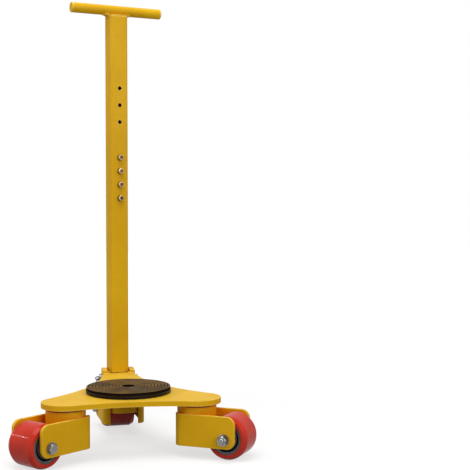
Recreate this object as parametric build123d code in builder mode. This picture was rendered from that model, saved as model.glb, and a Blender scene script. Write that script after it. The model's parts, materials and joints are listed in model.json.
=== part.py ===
from build123d import *
import os
from math import cos, radians, sin

# Transport dolly: a three-armed plate on three swivel casters, with a turntable pad and a hinged T-handle.
# Millimetres and degrees. The origin is the centre of the load pad's top face, +Z is up, the handle is at +Y.

# Load pad and turntable
pad_radius = 101.6
pad_thickness = 7.0
pad_bore_radius = 15.9
pad_edge_round = 1.5
groove_pitch = 8.0
groove_width = 2.2
groove_depth = 1.0
groove_border = 5.0
disc_radius = 102.6
disc_thickness = 6.4
disc_edge_round = 0.8
slide_ring_thickness = 2.4
slide_ring_width = 50.0
slide_ring_border = 8.0
spigot_wall = 9.1
spigot_end = 6.0
bush_wall = 3.0
clip_ring_thickness = 2.2
clip_ring_width = 6.0
clip_groove_depth = 1.6
retaining_washer_thickness = 3.0
retaining_washer_width = 11.0

# Base plate
arm_count = 3
rear_arm_angle = 90.0
plate_thickness = 12.7
plate_edge_round = 1.2
arm_length = 177.8
lobe_radius = 57.0
waist = 124.0
tongue_end_y = 294.0

# Caster swivel
swivel_gap = 5.0
barrel_rise = 14.7
barrel_bore_depth = 36.7
barrel_edge_round = 2.0
skirt_wall = 12.0
skirt_front = 12.0
skirt_drop = 24.0
kingpin_radius = 16.0
kingpin_thread_radius = 10.0
kingpin_thread_end = 3.0
swivel_bush_wall = 3.5
race_inner_clearance = 1.0
race_outer_radius = 40.0
race_thickness = 4.0
race_groove_depth = 0.8
ball_radius = 4.0
ball_count = 22
kingpin_washer_radius = 26.0
kingpin_washer_thickness = 4.0
kingpin_nut_flats = 30.0
kingpin_nut_height = 16.0

# Caster fork
fork_width = 107.0
fork_plate = 8.0
fork_seat = 1.0
fork_heel = 38.0
fork_bend = 20.0
fork_opening = 72.0
fork_reach = 115.0
fork_height = 75.2
fork_end_round = 20.0
fork_edge_round = 1.0
trail = 88.9
left_trail_angle = 218.9
right_trail_angle = 328.0
rear_trail_angle = 94.0
axle_drop = 53.4

# Caster wheel and axle
wheel_radius = 50.8
wheel_width = 80.0
tyre_depth = 13.0
tyre_bevel_width = 10.0
tyre_bevel_depth = 5.0
tyre_edge_round = 2.0
tyre_shoulder_round = 4.0
core_inset = 1.5
core_rim_thickness = 6.0
core_hub_wall = 6.0
core_web_thickness = 26.0
axle_radius = 7.0
axle_head_flats = 22.0
axle_head_height = 8.8
axle_nut_height = 13.0
axle_thread_end = 4.0
axle_washer_radius = 14.0
axle_washer_thickness = 2.5
bearing_radius = 20.0
bearing_width = 12.0
bearing_shield_inset = 1.0
bearing_ring_wall = 3.0
spacer_wall = 4.0

# Hinge at the end of the tongue
hinge_y = 316.0
hinge_drop = 17.5
ear_spacing = 60.0
ear_thickness = 12.7
ear_front_y = 272.0
ear_rear = 17.0
ear_rise = 10.4
ear_below_pin = 11.5
ear_corner_radius = 11.0
ear_edge_round = 0.8
hinge_pin_radius = 8.0
pin_head_radius = 12.0
pin_head_thickness = 7.0
pin_edge_round = 1.0
pin_eye_reach = 5.5
pin_eye_thickness = 4.0
pin_eye_radius = 5.5
pin_eye_hole_radius = 3.2
pull_ring_radius = 8.0
pull_ring_wire_radius = 1.4
pull_ring_turn = 20.0
pull_ring_slack = 0.55
pin_end = 12.0
pin_clip_radius = 2.0
pin_clip_overhang = 5.0
knuckle_depth = 34.0
knuckle_below_pin = 13.0
knuckle_above_pin = 19.4
knuckle_round = 10.0
spindle_radius = 12.7
spindle_end = 6.0
spindle_clip_thickness = 2.0
spindle_clip_width = 3.6
spindle_groove_depth = 1.4

# Handle post and bar
post_turn = 17.0
post_width = 48.0
post_wall = 3.2
post_corner_radius = 6.0
foot_length = 60.0
bar_height = 955.5
bar_radius = 13.35
bar_wall = 3.0
bar_length = 254.0
bar_cap_thickness = 3.0
bar_cap_round = 1.5
post_cap_thickness = 4.0
splice_height = 508.5
splice_wall = 6.0
splice_length = 180.0
screw_pitch = 36.3
screw_count = 4
screw_radius = 5.0
screw_head_radius = 8.0
screw_head_height = 10.0
screw_socket_flats = 8.0
screw_socket_depth = 5.0
screw_end = 4.0
spare_hole_height = 657.0
spare_hole_pitch = 45.0
spare_hole_count = 3
spare_hole_radius = 5.5

# Sides of a hexagon head, nut or socket
hex_sides = 6

# Clearances between pieces that fit together
press_gap = 0.02
running_gap = 0.05
hole_gap = 0.5
side_gap = 0.5
rolling_gap = 0.3
thrust_gap = 0.2

# Caster arms: direction of each arm from the pad, and of each caster's trail
arm_step = 360 / arm_count
casters = {
    "left": (rear_arm_angle + arm_step, left_trail_angle),
    "right": (rear_arm_angle - arm_step, right_trail_angle),
    "rear": (rear_arm_angle, rear_trail_angle),
}

# Heights worked down from the top of the pad
disc_top = -pad_thickness
disc_bottom = disc_top - disc_thickness
plate_top = disc_bottom - slide_ring_thickness
plate_bottom = plate_top - plate_thickness
head_top = plate_bottom - swivel_gap
head_bottom = head_top - barrel_bore_depth
skirt_bottom = head_bottom - skirt_drop
fork_top = head_top - barrel_rise
fork_bottom = fork_top - fork_height
axle_z = fork_top - axle_drop
hinge_z = plate_top - hinge_drop
knuckle_top = hinge_z + knuckle_above_pin
post_bottom = knuckle_top + thrust_gap
foot_top = post_bottom + foot_length
post_top = bar_height - bar_radius - post_cap_thickness

# Sizes that follow from the fits
retaining_washer_top = plate_bottom - thrust_gap
clip_ring_top = retaining_washer_top - retaining_washer_thickness
clip_ring_bottom = clip_ring_top - clip_ring_thickness
spigot_bottom = clip_ring_bottom - spigot_end
spigot_radius = pad_bore_radius + spigot_wall
clip_ring_inner_radius = spigot_radius - clip_groove_depth + press_gap
bush_inner_radius = spigot_radius + running_gap
bush_radius = bush_inner_radius + bush_wall
slide_ring_radius = disc_radius - slide_ring_border
groove_span = pad_radius - pad_bore_radius - 2 * groove_border
groove_count = int(groove_span / groove_pitch) + 1
lobe_step = lobe_radius - waist
hollow_centre = (arm_length**2 - lobe_step**2) / (arm_length + 2 * lobe_step)
hollow_radius = hollow_centre - waist
ear_face = ear_spacing / 2
ear_outer_face = ear_face + ear_thickness
swivel_bush_inner_radius = kingpin_radius + running_gap
swivel_bush_radius = swivel_bush_inner_radius + swivel_bush_wall
race_inner_radius = swivel_bush_radius + race_inner_clearance
ball_pitch_radius = (race_inner_radius + race_outer_radius) / 2
upper_race_bottom = plate_bottom - race_thickness
ball_centre_z = upper_race_bottom + race_groove_depth - rolling_gap - ball_radius
lower_race_top = ball_centre_z - ball_radius + race_groove_depth - press_gap
lower_race_bottom = lower_race_top - race_thickness
kingpin_shoulder_z = head_bottom - thrust_gap
kingpin_nut_top = kingpin_shoulder_z - kingpin_washer_thickness
kingpin_nut_bottom = kingpin_nut_top - kingpin_nut_height
kingpin_end = kingpin_nut_bottom - kingpin_thread_end
fork_half = fork_width / 2
fork_gap_half = fork_half - fork_plate
barrel_radius = fork_gap_half + fork_seat
axle_hole_radius = axle_radius + hole_gap
axle_head_face = fork_half + axle_washer_thickness
axle_length = 2 * axle_head_face + axle_nut_height + axle_thread_end
tyre_inner_radius = wheel_radius - tyre_depth
core_radius = tyre_inner_radius - press_gap
core_half_width = wheel_width / 2 - core_inset
core_bore_radius = bearing_radius + press_gap
core_bore_shoulder = bearing_radius - bearing_ring_wall
core_hub_radius = core_bore_radius + core_hub_wall
core_rim_radius = core_radius - core_rim_thickness
bearing_bore_radius = axle_radius + running_gap
spacer_face = core_half_width + thrust_gap
spacer_length = fork_gap_half - spacer_face
pin_head_face = ear_outer_face + pin_head_thickness
pin_eye_x = -pin_head_face - pin_eye_reach
pin_clip_x = ear_outer_face + side_gap + pin_clip_radius
pull_ring_top = hinge_z - pin_eye_hole_radius + pull_ring_wire_radius + pull_ring_slack
knuckle_half = ear_face - side_gap
spindle_clip_z = foot_top + thrust_gap
spindle_top = spindle_clip_z + spindle_clip_thickness + spindle_end
spindle_clip_inner_radius = spindle_radius - spindle_groove_depth + press_gap
post_inner_width = post_width - 2 * post_wall
post_inner_corner = post_corner_radius - post_wall
splice_width = post_inner_width - 2 * running_gap
foot_width = post_inner_width - 2 * press_gap

post_turn_rad = radians(post_turn)
post_plane = Plane(origin=(0, hinge_y, 0), x_dir=(cos(post_turn_rad), sin(post_turn_rad), 0), z_dir=(0, 0, 1))
splice_bottom = splice_height - splice_length / 2
screw_heights = [splice_height + (i - (screw_count - 1) / 2) * screw_pitch for i in range(screw_count)]
spare_hole_heights = [spare_hole_height + i * spare_hole_pitch for i in range(spare_hole_count)]


def swivel_plane(arm_angle, trail_angle):
    """Plane on a swivel axis at pad height, with its X axis along the caster's trail."""
    arm = radians(arm_angle)
    turn = radians(trail_angle)
    pivot = (arm_length * cos(arm), arm_length * sin(arm), 0)
    return Plane(origin=pivot, x_dir=(cos(turn), sin(turn), 0), z_dir=(0, 0, 1))


def wheel_plane(swivel):
    """Level plane through the wheel centre of a caster, with its Y axis along the axle."""
    centre = swivel.from_local_coords((trail, 0, axle_z))
    return Plane(origin=centre, x_dir=swivel.x_dir, z_dir=swivel.z_dir)


def axle_plane(swivel, side):
    """Plane square to the axle of a caster, at a distance to the side of its middle."""
    centre = swivel.from_local_coords((trail, side, axle_z))
    return Plane(origin=centre, x_dir=swivel.x_dir, z_dir=swivel.y_dir)


def post_face_plane(height):
    """Plane on the front face of the post at a height, facing the pad."""
    centre = post_plane.from_local_coords((0, -post_width / 2, height))
    return Plane(origin=centre, x_dir=post_plane.x_dir, z_dir=-post_plane.y_dir)


def bar_plane(along):
    """Plane square to the cross bar, at a distance along it from the post."""
    centre = post_plane.from_local_coords((along, 0, bar_height))
    return Plane(origin=centre, x_dir=post_plane.y_dir, z_dir=post_plane.x_dir)


def ring(plane, outer_radius, inner_radius, height):
    """A plain ring standing on a plane."""
    with BuildPart() as body:
        with BuildSketch(plane):
            Circle(outer_radius)
            Circle(inner_radius, mode=Mode.SUBTRACT)
        extrude(amount=height)
    return body.part


def save(part, node):
    """Label a finished piece and write its file."""
    part.label = node
    export_step(part, f"parts/{node}.step")


os.makedirs("parts", exist_ok=True)
swivels = {name: swivel_plane(*angles) for name, angles in casters.items()}

# Base plate: three round lobes joined by hollow sides, and the tongue that carries the handle
with BuildPart() as main_plate:
    with BuildSketch(Plane.XY.offset(plate_bottom)):
        with PolarLocations(arm_length, arm_count, start_angle=rear_arm_angle):
            Circle(lobe_radius)
        make_hull()
        with PolarLocations(hollow_centre, arm_count, start_angle=rear_arm_angle + arm_step / 2):
            Circle(hollow_radius, mode=Mode.SUBTRACT)
    extrude(amount=plate_thickness)
    with BuildSketch(Plane.XY.offset(plate_bottom)):
        with Locations((0, arm_length)):
            Circle(lobe_radius)
        with Locations((0, ear_front_y)):
            Rectangle(2 * ear_outer_face, ear_front_y - arm_length, align=(Align.CENTER, Align.MAX))
        make_hull()
        with Locations((0, ear_front_y)):
            Rectangle(2 * ear_face, tongue_end_y - ear_front_y, align=(Align.CENTER, Align.MIN))
    extrude(amount=plate_thickness)
    fillet(main_plate.faces().sort_by(Axis.Z)[-1].edges(), plate_edge_round)
    with Locations((0, 0, plate_top)):
        Hole(bush_radius + press_gap)
save(main_plate.part, "main_plate")

# Kingpins welded under the lobes, with their washers and nuts
with BuildPart() as kingpins:
    with BuildSketch(*[swivel.offset(kingpin_shoulder_z) for swivel in swivels.values()]):
        Circle(kingpin_radius)
    extrude(amount=plate_bottom - kingpin_shoulder_z)
    with BuildSketch(*[swivel.offset(kingpin_end) for swivel in swivels.values()]):
        Circle(kingpin_thread_radius)
    extrude(amount=kingpin_shoulder_z - kingpin_end)
save(kingpins.part, "kingpins")

with BuildPart() as kingpin_washers:
    with BuildSketch(*[swivel.offset(kingpin_nut_top) for swivel in swivels.values()]):
        Circle(kingpin_washer_radius)
        Circle(kingpin_thread_radius + hole_gap, mode=Mode.SUBTRACT)
    extrude(amount=kingpin_washer_thickness)
save(kingpin_washers.part, "kingpin_washers")

with BuildPart() as kingpin_nuts:
    with BuildSketch(*[swivel.offset(kingpin_nut_bottom) for swivel in swivels.values()]):
        RegularPolygon(kingpin_nut_flats / 2, hex_sides, major_radius=False)
        Circle(kingpin_thread_radius + press_gap, mode=Mode.SUBTRACT)
    extrude(amount=kingpin_nut_height)
save(kingpin_nuts.part, "kingpin_nuts")

# Upper races of the thrust bearings, seated on the plate
with BuildPart() as upper_races:
    with BuildSketch(*[swivel.offset(upper_race_bottom) for swivel in swivels.values()]):
        Circle(race_outer_radius)
        Circle(race_inner_radius, mode=Mode.SUBTRACT)
    extrude(amount=race_thickness)
    with Locations(*[swivel.offset(ball_centre_z) for swivel in swivels.values()]):
        Torus(ball_pitch_radius, ball_radius + rolling_gap, mode=Mode.SUBTRACT)
save(upper_races.part, "upper_races")

# Turntable bearing in the base plate
bush_plane = Plane.XY.offset(plate_bottom)
save(ring(bush_plane, bush_radius, bush_inner_radius, plate_thickness), "turntable_bush")
slide_plane = Plane.XY.offset(plate_top)
slide_ring_inner_radius = slide_ring_radius - slide_ring_width
save(ring(slide_plane, slide_ring_radius, slide_ring_inner_radius, slide_ring_thickness), "slide_ring")

# Hinge ears welded to the sides of the tongue
with BuildPart() as hinge_ears:
    with BuildSketch(Plane.YZ.offset(ear_face), Plane.YZ.offset(-ear_outer_face)):
        ear_length = hinge_y + ear_rear - ear_front_y
        ear_height = plate_top + ear_rise - hinge_z + ear_below_pin
        with Locations((ear_front_y, hinge_z - ear_below_pin)):
            Rectangle(ear_length, ear_height, align=(Align.MIN, Align.MIN))
        fillet(vertices().group_by(Axis.X)[-1], ear_corner_radius)
    extrude(amount=ear_thickness)
    fillet(hinge_ears.edges(), ear_edge_round)
    with Locations(Plane.YZ.offset(ear_outer_face)):
        with Locations((hinge_y, hinge_z)):
            Hole(hinge_pin_radius + running_gap)
save(hinge_ears.part, "hinge_ears")

# Hinge pin with a flat eye on its head, its pull ring and its clip
with BuildPart() as hinge_pin:
    with BuildSketch(Plane.YZ.offset(-ear_outer_face)):
        with Locations((hinge_y, hinge_z)):
            Circle(hinge_pin_radius)
    extrude(amount=2 * ear_outer_face + pin_end)
    with BuildSketch(Plane.YZ.offset(-ear_outer_face)):
        with Locations((hinge_y, hinge_z)):
            Circle(pin_head_radius)
    extrude(amount=-pin_head_thickness)
    ends = hinge_pin.faces().filter_by(Axis.X).sort_by(Axis.X)
    fillet([*ends[0].edges(), *ends[-1].edges()], pin_edge_round)
    with BuildSketch(Plane.XZ.offset(-hinge_y)):
        with Locations((pin_eye_x, hinge_z)):
            Rectangle(pin_eye_reach, 2 * pin_eye_radius, align=(Align.MIN, Align.CENTER))
            Circle(pin_eye_radius)
            Circle(pin_eye_hole_radius, mode=Mode.SUBTRACT)
    extrude(amount=pin_eye_thickness / 2, both=True)
    with Locations((pin_clip_x, hinge_y, hinge_z + hinge_pin_radius)):
        Hole(pin_clip_radius + running_gap)
save(hinge_pin.part, "hinge_pin")

ring_turn = radians(pull_ring_turn)
ring_centre = (pin_eye_x, hinge_y, pull_ring_top - pull_ring_radius)
with BuildPart(Plane(origin=ring_centre, z_dir=(cos(ring_turn), -sin(ring_turn), 0))) as pin_ring:
    Torus(pull_ring_radius, pull_ring_wire_radius)
save(pin_ring.part, "pin_ring")

pin_clip_reach = hinge_pin_radius + pin_clip_overhang
with BuildPart() as pin_clip:
    with BuildSketch(Plane.XY.offset(hinge_z - pin_clip_reach)):
        with Locations((pin_clip_x, hinge_y)):
            Circle(pin_clip_radius)
    extrude(amount=2 * pin_clip_reach)
save(pin_clip.part, "pin_clip")

# Turntable: ringed pad on a disc, with a hollow spigot held by a washer and a clip ring
with BuildPart() as load_pad:
    with BuildSketch(Plane.XY.offset(disc_top)):
        Circle(pad_radius)
        Circle(pad_bore_radius, mode=Mode.SUBTRACT)
    extrude(amount=pad_thickness)
    fillet(load_pad.edges().group_by(Axis.Z)[-1].sort_by(SortBy.RADIUS)[-1], pad_edge_round)
    with BuildSketch(Plane.XY.offset(-groove_depth)):
        for i in range(groove_count):
            groove_radius = pad_radius - groove_border - i * groove_pitch
            Circle(groove_radius)
            Circle(groove_radius - groove_width, mode=Mode.SUBTRACT)
    extrude(amount=groove_depth, mode=Mode.SUBTRACT)
save(load_pad.part, "load_pad")

with BuildPart() as turntable_disc:
    with BuildSketch(Plane.XY.offset(disc_bottom)):
        Circle(disc_radius)
    extrude(amount=disc_thickness)
    fillet(turntable_disc.edges(), disc_edge_round)
    with Locations((0, 0, disc_top)):
        Hole(pad_bore_radius)
save(turntable_disc.part, "turntable_disc")

with BuildPart() as turntable_spigot:
    with BuildSketch(Plane.XY.offset(spigot_bottom)):
        Circle(spigot_radius)
        Circle(pad_bore_radius, mode=Mode.SUBTRACT)
    extrude(amount=disc_bottom - spigot_bottom)
    with BuildSketch(Plane.XY.offset(clip_ring_bottom)):
        Circle(spigot_radius)
        Circle(spigot_radius - clip_groove_depth, mode=Mode.SUBTRACT)
    extrude(amount=clip_ring_thickness, mode=Mode.SUBTRACT)
save(turntable_spigot.part, "turntable_spigot")

washer_inner_radius = spigot_radius + running_gap
washer_radius = spigot_radius + retaining_washer_width
washer_plane = Plane.XY.offset(clip_ring_top)
save(ring(washer_plane, washer_radius, washer_inner_radius, retaining_washer_thickness), "retaining_washer")
clip_ring_radius = clip_ring_inner_radius + clip_ring_width
clip_plane = Plane.XY.offset(clip_ring_bottom)
save(ring(clip_plane, clip_ring_radius, clip_ring_inner_radius, clip_ring_thickness), "retaining_ring")


def make_fork(swivel):
    """Two cheeks with heels bent towards each other, rounded front corners and the axle holes."""
    with BuildPart() as fork:
        with BuildSketch(swivel.offset(fork_bottom)):
            with Locations((-fork_heel, 0)):
                Rectangle(fork_heel + fork_reach, fork_width, align=(Align.MIN, Align.CENTER))
            fillet(vertices().group_by(Axis.X)[0], fork_bend)
            offset(amount=-fork_plate, kind=Kind.INTERSECTION, mode=Mode.SUBTRACT)
            with Locations((fork_reach, 0)):
                Rectangle(fork_plate, 2 * fork_gap_half, align=(Align.MAX, Align.CENTER), mode=Mode.SUBTRACT)
            with Locations((-fork_heel, 0)):
                Rectangle(fork_bend, fork_opening, align=(Align.MIN, Align.CENTER), mode=Mode.SUBTRACT)
        extrude(amount=fork_height)
        fillet(fork.edges().filter_by(Axis(swivel.origin, swivel.y_dir)), fork_end_round)
        fillet(fork.edges(), fork_edge_round)
        with Locations(axle_plane(swivel, fork_half)):
            Hole(axle_hole_radius)
    return fork.part


def make_swivel_head(swivel):
    """Barrel with flat seats for the cheeks, bored for the swivel, with a short skirt behind the wheel."""
    with BuildPart() as head:
        with BuildSketch(swivel.offset(head_bottom)):
            Circle(barrel_radius)
        extrude(amount=barrel_bore_depth)
        fillet(head.edges().group_by(Axis.Z)[-1], barrel_edge_round)
        with BuildSketch(swivel.offset(skirt_bottom)):
            Circle(barrel_radius)
            Circle(barrel_radius - skirt_wall, mode=Mode.SUBTRACT)
            with Locations((skirt_front + barrel_radius, 0)):
                Rectangle(2 * barrel_radius, 2 * barrel_radius, mode=Mode.SUBTRACT)
        extrude(amount=skirt_drop)
        with BuildSketch(swivel.offset(fork_bottom)):
            Rectangle(2 * barrel_radius, fork_width)
            Rectangle(2 * barrel_radius, 2 * fork_gap_half, mode=Mode.SUBTRACT)
        extrude(amount=fork_height, mode=Mode.SUBTRACT)
        with Locations(swivel.offset(head_top)):
            CounterBoreHole(
                radius=swivel_bush_radius + press_gap,
                counter_bore_radius=race_outer_radius + rolling_gap,
                counter_bore_depth=head_top - lower_race_bottom,
            )
    return head.part


def make_thrust_bearing(swivel):
    """Lower race with its groove, and the balls that run in it."""
    with BuildPart() as bearing:
        with BuildSketch(swivel.offset(lower_race_bottom)):
            Circle(race_outer_radius)
            Circle(race_inner_radius, mode=Mode.SUBTRACT)
        extrude(amount=race_thickness)
        with Locations(swivel.offset(ball_centre_z)):
            Torus(ball_pitch_radius, ball_radius + press_gap, mode=Mode.SUBTRACT)
        with Locations(swivel.offset(ball_centre_z)):
            with PolarLocations(ball_pitch_radius, ball_count):
                Sphere(ball_radius)
    return bearing.part


def make_axle_bolt(swivel):
    """Axle bolt with a hexagon head on the left of the trail."""
    with BuildPart() as bolt:
        with BuildSketch(axle_plane(swivel, axle_head_face)):
            RegularPolygon(axle_head_flats / 2, hex_sides, major_radius=False)
        extrude(amount=axle_head_height)
        with BuildSketch(axle_plane(swivel, axle_head_face)):
            Circle(axle_radius)
        extrude(amount=-axle_length)
    return bolt.part


def make_axle_nut(swivel):
    """Axle nut on the side away from the bolt head."""
    with BuildPart() as nut:
        with BuildSketch(axle_plane(swivel, -axle_head_face)):
            RegularPolygon(axle_head_flats / 2, hex_sides, major_radius=False)
            Circle(axle_radius + press_gap, mode=Mode.SUBTRACT)
        extrude(amount=-axle_nut_height)
    return nut.part


def make_axle_washers(swivel):
    """Washers under the head and the nut of the axle bolt."""
    with BuildPart() as washers:
        with BuildSketch(axle_plane(swivel, fork_half), axle_plane(swivel, -axle_head_face)):
            Circle(axle_washer_radius)
            Circle(axle_hole_radius, mode=Mode.SUBTRACT)
        extrude(amount=axle_washer_thickness)
    return washers.part


def make_axle_spacers(swivel):
    """Spacers between the cheeks and the wheel bearings."""
    with BuildPart() as spacers:
        with BuildSketch(axle_plane(swivel, spacer_face), axle_plane(swivel, -fork_gap_half)):
            Circle(axle_radius + spacer_wall)
            Circle(bearing_bore_radius, mode=Mode.SUBTRACT)
        extrude(amount=spacer_length)
    return spacers.part


def make_tyre(swivel):
    """Tread of the wheel, with bevelled edges."""
    wheel = wheel_plane(swivel)
    side = wheel_width / 2
    shoulder = side - tyre_bevel_width
    bevel_radius = wheel_radius - tyre_bevel_depth
    with BuildPart() as tyre:
        with BuildSketch(wheel):
            with BuildLine():
                Polyline(
                    (tyre_inner_radius, 0),
                    (tyre_inner_radius, side),
                    (bevel_radius, side),
                    (wheel_radius, shoulder),
                    (wheel_radius, 0),
                    close=True,
                )
            make_face()
            fillet(vertices().group_by(Axis.Y)[-1].sort_by(Axis.X)[-1], tyre_edge_round)
            fillet(vertices().group_by(Axis.X)[-1].sort_by(Axis.Y)[-1], tyre_shoulder_round)
            mirror(about=Plane.XZ)
        revolve(axis=Axis(wheel.origin, wheel.y_dir))
    return tyre.part


def make_wheel_core(swivel):
    """Cast core of the wheel: rim, web and hub with two bearing seats."""
    wheel = wheel_plane(swivel)
    seat = core_half_width - bearing_width
    web = core_web_thickness / 2
    with BuildPart() as core:
        with BuildSketch(wheel):
            with BuildLine():
                Polyline(
                    (core_bore_shoulder, 0),
                    (core_bore_shoulder, seat),
                    (core_bore_radius, seat),
                    (core_bore_radius, core_half_width),
                    (core_hub_radius, core_half_width),
                    (core_hub_radius, web),
                    (core_rim_radius, web),
                    (core_rim_radius, core_half_width),
                    (core_radius, core_half_width),
                    (core_radius, 0),
                    close=True,
                )
            make_face()
            mirror(about=Plane.XZ)
        revolve(axis=Axis(wheel.origin, wheel.y_dir))
    return core.part


def make_wheel_bearings(swivel):
    """Two shielded ball bearings in the ends of the hub."""
    wheel = wheel_plane(swivel)
    shield_inner_radius = bearing_bore_radius + bearing_ring_wall
    shield_width = bearing_radius - bearing_ring_wall - shield_inner_radius
    with BuildPart() as bearings:
        with BuildSketch(wheel):
            with Locations((bearing_bore_radius, core_half_width)):
                Rectangle(bearing_radius - bearing_bore_radius, bearing_width, align=(Align.MIN, Align.MAX))
            with Locations((shield_inner_radius, core_half_width - bearing_shield_inset)):
                Rectangle(shield_width, bearing_shield_inset, align=Align.MIN, mode=Mode.SUBTRACT)
            mirror(about=Plane.XZ)
        revolve(axis=Axis(wheel.origin, wheel.y_dir))
    return bearings.part


# Casters, alike but for their place and the way they trail
swivel_bush_length = lower_race_bottom - head_bottom
for name, swivel in swivels.items():
    swivel_bush = ring(
        swivel.offset(head_bottom), swivel_bush_radius, swivel_bush_inner_radius, swivel_bush_length
    )
    save(make_fork(swivel), f"{name}_fork")
    save(make_swivel_head(swivel), f"{name}_swivel_head")
    save(make_thrust_bearing(swivel), f"{name}_thrust_bearing")
    save(swivel_bush, f"{name}_swivel_bush")
    save(make_axle_bolt(swivel), f"{name}_axle_bolt")
    save(make_axle_nut(swivel), f"{name}_axle_nut")
    save(make_axle_washers(swivel), f"{name}_axle_washers")
    save(make_axle_spacers(swivel), f"{name}_axle_spacers")
    save(make_tyre(swivel), f"{name}_tyre")
    save(make_wheel_core(swivel), f"{name}_wheel_core")
    save(make_wheel_bearings(swivel), f"{name}_wheel_bearings")

# Knuckle that tilts on the hinge pin, with the spindle that the post turns on
with BuildPart() as hinge_knuckle:
    with BuildSketch(Plane.YZ.offset(-knuckle_half)):
        with Locations((hinge_y, knuckle_top)):
            Rectangle(knuckle_depth, knuckle_above_pin + knuckle_below_pin, align=(Align.CENTER, Align.MAX))
        fillet(vertices().group_by(Axis.Y)[0], knuckle_round)
        with Locations((hinge_y, hinge_z)):
            Circle(hinge_pin_radius + running_gap, mode=Mode.SUBTRACT)
    extrude(amount=2 * knuckle_half)
    with BuildSketch(post_plane.offset(knuckle_top)):
        Circle(spindle_radius)
    extrude(amount=spindle_top - knuckle_top)
    with BuildSketch(post_plane.offset(spindle_clip_z)):
        Circle(spindle_radius)
        Circle(spindle_radius - spindle_groove_depth, mode=Mode.SUBTRACT)
    extrude(amount=spindle_clip_thickness, mode=Mode.SUBTRACT)
save(hinge_knuckle.part, "hinge_knuckle")

spindle_clip_radius = spindle_clip_inner_radius + spindle_clip_width
spindle_clip = ring(
    post_plane.offset(spindle_clip_z), spindle_clip_radius, spindle_clip_inner_radius, spindle_clip_thickness
)
save(spindle_clip, "spindle_clip")

# Foot inside the bottom of the post, bored for the spindle
with BuildPart() as post_foot:
    with BuildSketch(post_plane.offset(post_bottom)):
        RectangleRounded(foot_width, foot_width, post_inner_corner)
        Circle(spindle_radius + running_gap, mode=Mode.SUBTRACT)
    extrude(amount=foot_length)
save(post_foot.part, "post_foot")


def make_post(bottom, top):
    """A length of the square post, with the screw holes and spare holes that fall within it."""
    with BuildPart() as post:
        with BuildSketch(post_plane.offset(bottom)):
            RectangleRounded(post_width, post_width, post_corner_radius)
            RectangleRounded(post_inner_width, post_inner_width, post_inner_corner, mode=Mode.SUBTRACT)
        extrude(amount=top - bottom)
        for height in screw_heights:
            if bottom < height < top:
                with Locations(post_face_plane(height)):
                    Hole(screw_radius + hole_gap, depth=post_wall)
        for height in spare_hole_heights:
            if bottom < height < top:
                with Locations(post_face_plane(height)):
                    Hole(spare_hole_radius, depth=post_width)
    return post.part


# Post in two lengths, butted over the splice tube
save(make_post(post_bottom, splice_height), "lower_post")
save(make_post(splice_height, post_top), "upper_post")

with BuildPart() as splice_tube:
    with BuildSketch(post_plane.offset(splice_bottom)):
        RectangleRounded(splice_width, splice_width, post_inner_corner)
        splice_bore = splice_width - 2 * splice_wall
        Rectangle(splice_bore, splice_bore, mode=Mode.SUBTRACT)
    extrude(amount=splice_length)
    with Locations(*[post_face_plane(height) for height in screw_heights]):
        Hole(screw_radius + press_gap, depth=post_width / 2)
save(splice_tube.part, "splice_tube")

with BuildPart() as splice_screws:
    with BuildSketch(*[post_face_plane(height) for height in screw_heights]):
        Circle(screw_head_radius)
    extrude(amount=screw_head_height)
    with BuildSketch(*[post_face_plane(height).offset(screw_head_height) for height in screw_heights]):
        RegularPolygon(screw_socket_flats / 2, hex_sides, major_radius=False)
    extrude(amount=-screw_socket_depth, mode=Mode.SUBTRACT)
    with BuildSketch(*[post_face_plane(height) for height in screw_heights]):
        Circle(screw_radius)
    extrude(amount=-(post_wall + splice_wall + screw_end))
save(splice_screws.part, "splice_screws")

# Cross bar on the capped top of the post
with BuildPart() as post_cap:
    with BuildSketch(post_plane.offset(post_top)):
        RectangleRounded(post_width, post_width, post_corner_radius)
    extrude(amount=post_cap_thickness)
save(post_cap.part, "post_cap")

bar_tube_length = bar_length - 2 * bar_cap_thickness
bar_end = bar_tube_length / 2
save(ring(bar_plane(-bar_end), bar_radius, bar_radius - bar_wall, bar_tube_length), "cross_bar")

with BuildPart() as bar_caps:
    with BuildSketch(bar_plane(bar_end), bar_plane(-bar_end - bar_cap_thickness)):
        Circle(bar_radius)
    extrude(amount=bar_cap_thickness)
    ends = bar_caps.faces().filter_by(bar_plane(0)).sort_by(Axis.X)
    fillet([*ends[0].edges(), *ends[-1].edges()], bar_cap_round)
save(bar_caps.part, "bar_caps")
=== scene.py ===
import json
import math

import bmesh
import bpy
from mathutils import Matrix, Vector


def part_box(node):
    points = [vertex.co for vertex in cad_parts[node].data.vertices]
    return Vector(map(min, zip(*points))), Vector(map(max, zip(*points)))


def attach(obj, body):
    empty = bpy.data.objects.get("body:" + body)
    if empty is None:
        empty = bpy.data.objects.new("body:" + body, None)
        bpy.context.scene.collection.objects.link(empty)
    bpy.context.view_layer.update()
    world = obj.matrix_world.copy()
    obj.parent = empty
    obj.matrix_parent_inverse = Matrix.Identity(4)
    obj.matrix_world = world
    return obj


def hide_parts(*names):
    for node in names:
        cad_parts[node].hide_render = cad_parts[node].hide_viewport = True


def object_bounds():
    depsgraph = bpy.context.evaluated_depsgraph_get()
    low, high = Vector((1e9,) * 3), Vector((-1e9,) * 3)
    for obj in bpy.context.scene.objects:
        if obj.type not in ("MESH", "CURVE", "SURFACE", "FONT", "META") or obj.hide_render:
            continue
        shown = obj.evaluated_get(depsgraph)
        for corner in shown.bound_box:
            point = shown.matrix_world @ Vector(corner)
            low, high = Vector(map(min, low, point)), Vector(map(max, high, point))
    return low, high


# Visual model of a three-armed transport dolly with a turntable pad and a T-handle, around its CAD frame.
# Metres. The origin is the middle of the load pad's top face, +Z is up and the handle stands at +Y.

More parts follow.
